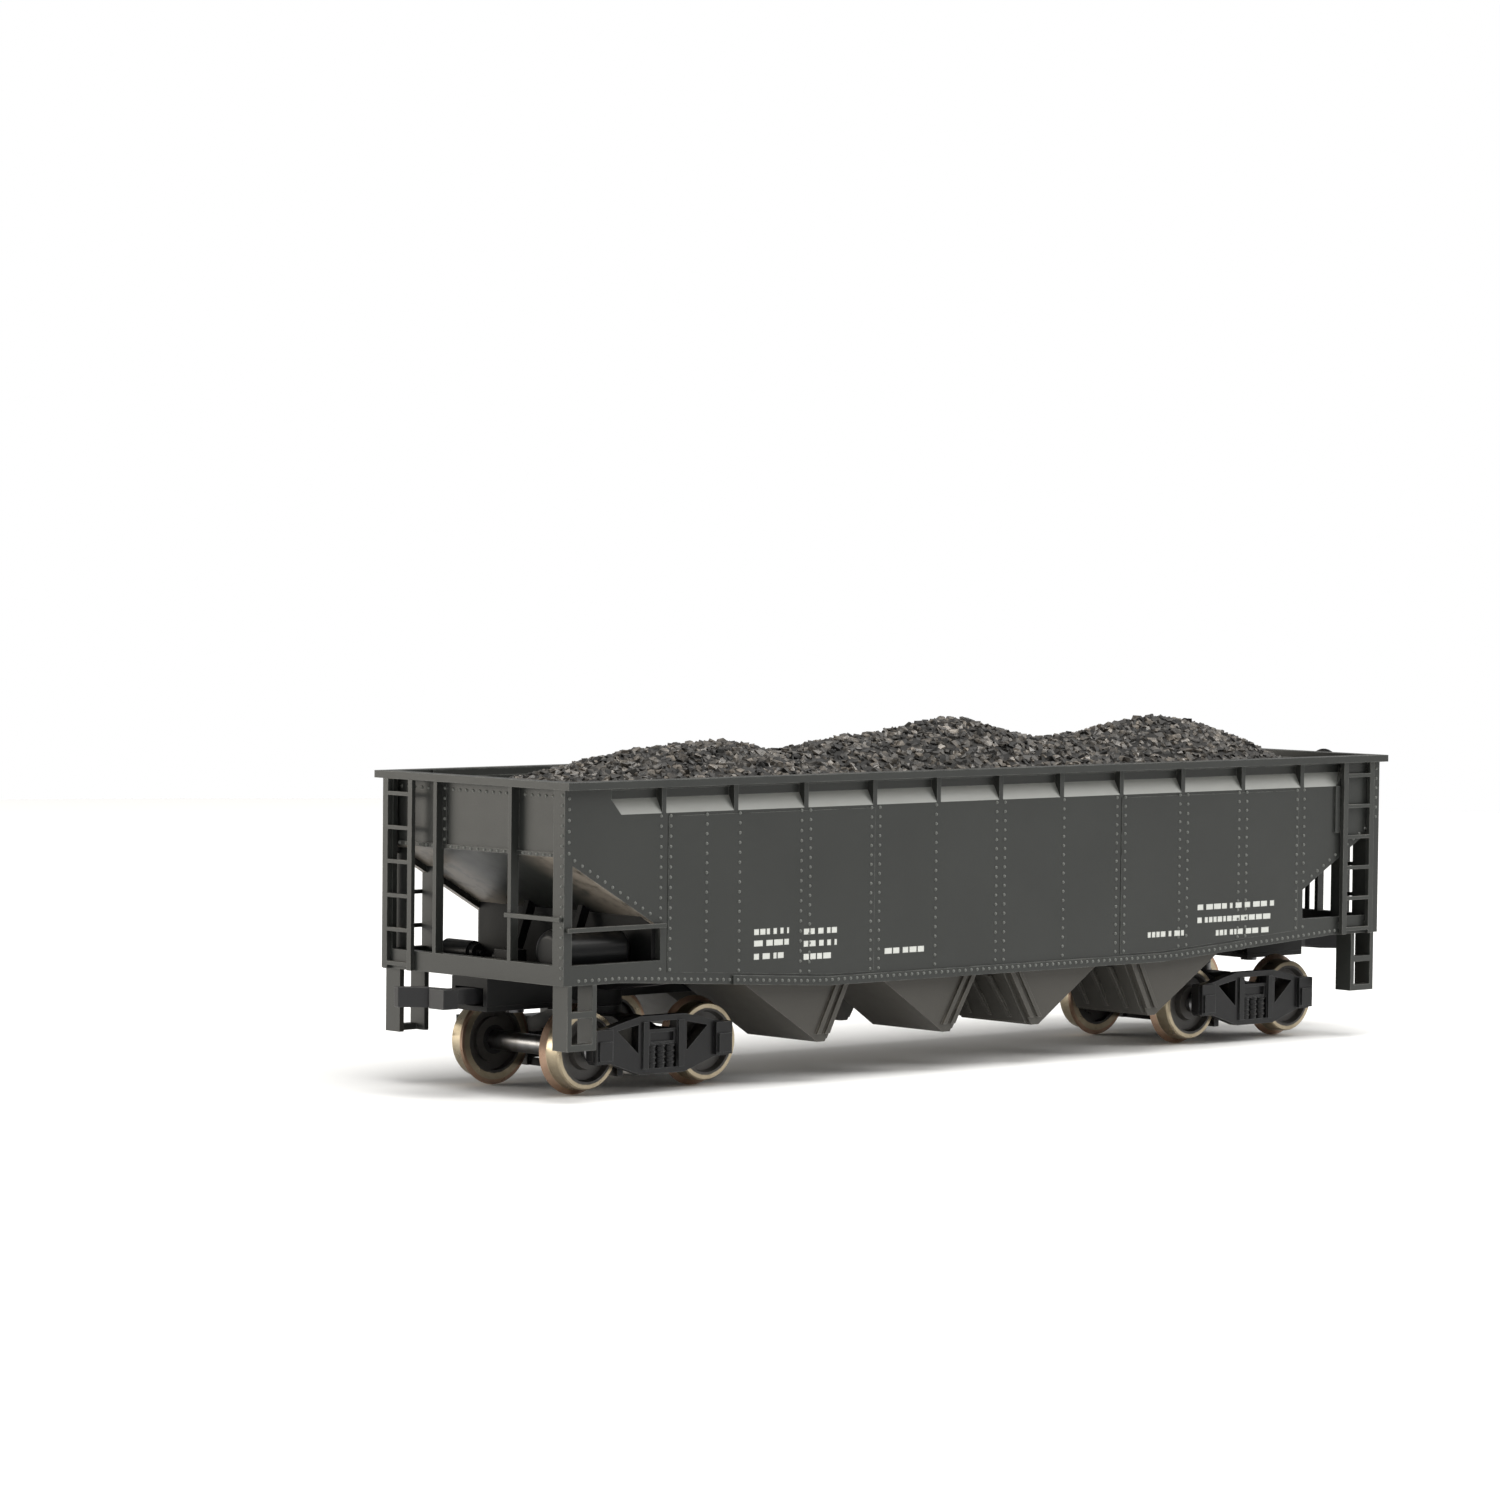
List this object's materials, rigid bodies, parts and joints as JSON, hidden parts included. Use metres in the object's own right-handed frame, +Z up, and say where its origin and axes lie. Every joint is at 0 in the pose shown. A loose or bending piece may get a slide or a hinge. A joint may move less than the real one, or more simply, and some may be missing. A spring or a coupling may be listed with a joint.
{
  "type": "model hopper car",
  "caption": "HO-scale open-top hopper railway car with sloped discharge bays, offset sides, swivelling trucks, couplers and a lift-out coal load.",
  "frame": {"origin": "middle of the car, on the plane that the wheel flanges reach", "axes": "+X along the car towards the hand-brake end, +Y across the track, +Z up"},
  "size_m": [0.1628, 0.0364, 0.0438],
  "materials": {
    "body_plastic": "moulded, painted dark grey, matt",
    "chute_plastic": "moulded, painted dark grey, matt",
    "door_plastic": "moulded, painted dark grey, matt",
    "underframe_plastic": "moulded black, satin",
    "coal": "moulded load with glossy specks",
    "ballast_steel": "rolled plate",
    "truck_plastic": "acetal, satin black",
    "screw_steel": "blackened",
    "axle_steel": "turned, darkened",
    "wheel_brass": "turned, blackened faces and bright tread",
    "bush_plastic": "black acetal",
    "coupler_plastic": "acetal, satin black",
    "spring_bronze": "phosphor bronze strip"
  },
  "bodies": {
    "car_body": {"air_reservoir": "underframe_plastic", "body_shell": "body_plastic", "brake_cylinder": "underframe_plastic", "brake_housing": "underframe_plastic", "brake_platform": "body_plastic", "brake_rod": "underframe_plastic", "brake_wheel": "underframe_plastic", "centring_spring_a": "spring_bronze", "centring_spring_b": "spring_bronze", "control_valve": "underframe_plastic", "draft_lid_a": "underframe_plastic", "draft_lid_b": "underframe_plastic", "end_ladder_a": "body_plastic", "end_ladder_b": "body_plastic", "end_rail_a": "body_plastic", "end_rail_b": "body_plastic", "hopper_chute_1": "chute_plastic", "hopper_chute_2": "chute_plastic", "hopper_chute_3": "chute_plastic", "hopper_chute_4": "chute_plastic", "hopper_door_1": "door_plastic", "hopper_door_2": "door_plastic", "hopper_door_3": "door_plastic", "hopper_door_4": "door_plastic", "lid_screws": "screw_steel", "side_ladder_a": "body_plastic", "side_ladder_b": "body_plastic", "side_rail_a": "body_plastic", "side_rail_b": "body_plastic", "steel_ballast": "ballast_steel", "stirrup_a_far": "body_plastic", "stirrup_a_near": "body_plastic", "stirrup_b_far": "body_plastic", "stirrup_b_near": "body_plastic", "truck_screws": "screw_steel", "underframe": "underframe_plastic"},
    "coal_load": {"coal_load": "coal"},
    "truck_a": {"truck_frame_a": "truck_plastic"},
    "coupler_a": {"coupler_a": "coupler_plastic"},
    "truck_b": {"truck_frame_b": "truck_plastic"},
    "coupler_b": {"coupler_b": "coupler_plastic"},
    "wheelset_1": {"axle_1": "axle_steel", "wheels_1": "wheel_brass", "wheel_bush_1": "bush_plastic"},
    "wheelset_2": {"axle_2": "axle_steel", "wheels_2": "wheel_brass", "wheel_bush_2": "bush_plastic"},
    "wheelset_3": {"axle_3": "axle_steel", "wheels_3": "wheel_brass", "wheel_bush_3": "bush_plastic"},
    "wheelset_4": {"axle_4": "axle_steel", "wheels_4": "wheel_brass", "wheel_bush_4": "bush_plastic"}
  },
  "joints": [
    {"name": "truck_a_swivel", "type": "hinge", "parent": "car_body", "child": "truck_a", "pos_m": [-0.0533, 0, 0.01], "axis": [0, 0, 1], "range_deg": [-12, 12]},
    {"name": "truck_b_swivel", "type": "hinge", "parent": "car_body", "child": "truck_b", "pos_m": [0.0533, 0, 0.01], "axis": [0, 0, 1], "range_deg": [-12, 12]},
    {"name": "wheelset_1_roll", "type": "hinge", "parent": "truck_a", "child": "wheelset_1", "pos_m": [-0.06295, 0, 0.00551], "axis": [0, 1, 0], "continuous": true},
    {"name": "wheelset_2_roll", "type": "hinge", "parent": "truck_a", "child": "wheelset_2", "pos_m": [-0.04365, 0, 0.00551], "axis": [0, 1, 0], "continuous": true},
    {"name": "wheelset_3_roll", "type": "hinge", "parent": "truck_b", "child": "wheelset_3", "pos_m": [0.04365, 0, 0.00551], "axis": [0, 1, 0], "continuous": true},
    {"name": "wheelset_4_roll", "type": "hinge", "parent": "truck_b", "child": "wheelset_4", "pos_m": [0.06295, 0, 0.00551], "axis": [0, 1, 0], "continuous": true},
    {"name": "coupler_a_swing", "type": "hinge", "parent": "car_body", "child": "coupler_a", "pos_m": [-0.066, 0, 0.01195], "axis": [0, 0, 1], "range_deg": [-9, 9], "stiffness_Nm_per_rad": 0.0001},
    {"name": "coupler_b_swing", "type": "hinge", "parent": "car_body", "child": "coupler_b", "pos_m": [0.066, 0, 0.01195], "axis": [0, 0, 1], "range_deg": [-9, 9], "stiffness_Nm_per_rad": 0.0001},
    {"name": "coal_load_lift", "type": "slide", "parent": "car_body", "child": "coal_load", "axis": [0, 0, 1], "range_m": [0, 0.04]}
  ]
}
